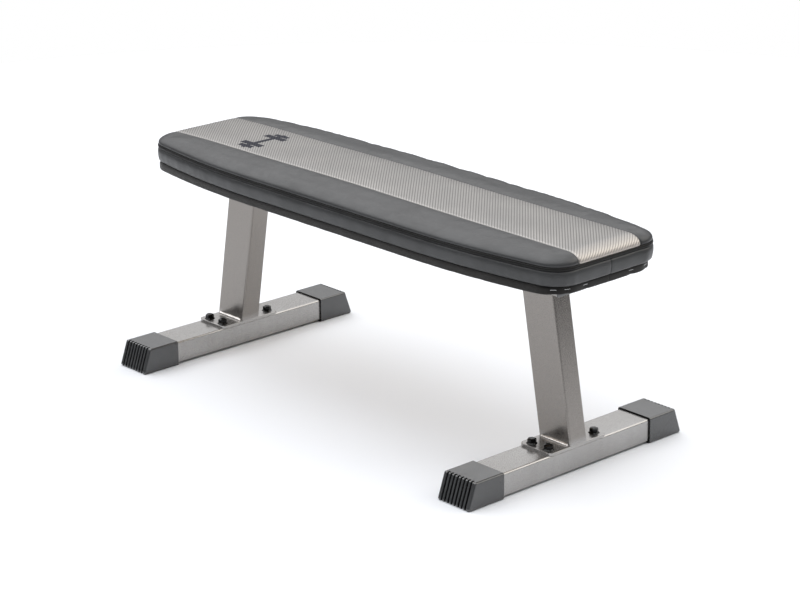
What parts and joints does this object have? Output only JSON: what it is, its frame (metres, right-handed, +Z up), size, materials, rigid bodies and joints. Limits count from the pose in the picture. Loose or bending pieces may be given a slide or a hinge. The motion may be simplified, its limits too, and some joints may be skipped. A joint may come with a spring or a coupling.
{
  "type": "flat weight bench",
  "caption": "Flat weight bench: a long padded top with a ribbed centre strip, on two inward-leaning tube uprights bolted to cross feet with grooved end caps.",
  "frame": {"origin": "on the floor under the middle of the bench", "axes": "+X along the bench towards its front end, +Y across it to the left, +Z up"},
  "size_m": [1.163, 0.5506, 0.449],
  "materials": {
    "strip_vinyl": "satin",
    "dark_vinyl": "satin",
    "piping_vinyl": "satin",
    "hem_fabric": "matte",
    "staple_steel": "satin",
    "foam": "matte",
    "plywood": "matte",
    "zinc_steel": "satin",
    "black_steel": "satin",
    "frame_paint": "satin",
    "weld_bead": "satin",
    "plug_plastic": "satin",
    "cap_plastic": "satin"
  },
  "bodies": {
    "root": {"cover_strip": "strip_vinyl", "cover_panel_left": "dark_vinyl", "cover_panel_right": "dark_vinyl", "cover_boxing": "dark_vinyl", "cover_piping": "piping_vinyl", "cover_hem": "hem_fabric", "hem_staples": "staple_steel", "foam_core": "foam", "pad_board": "plywood", "tee_nuts": "zinc_steel", "pad_bolts": "zinc_steel", "pad_washers": "zinc_steel", "rail": "frame_paint", "rail_plug_front": "plug_plastic", "rail_plug_rear": "plug_plastic", "upright_front": "frame_paint", "upright_rear": "frame_paint", "upright_welds_front": "weld_bead", "upright_welds_rear": "weld_bead", "base_plate_front": "frame_paint", "base_plate_rear": "frame_paint", "foot_tube_front": "frame_paint", "foot_tube_rear": "frame_paint", "foot_bolts_front": "black_steel", "foot_bolts_rear": "black_steel", "weld_nuts_front": "zinc_steel", "weld_nuts_rear": "zinc_steel", "foot_cap_front_left": "cap_plastic", "foot_cap_front_right": "cap_plastic", "foot_cap_rear_left": "cap_plastic", "foot_cap_rear_right": "cap_plastic"}
  },
  "joints": []
}
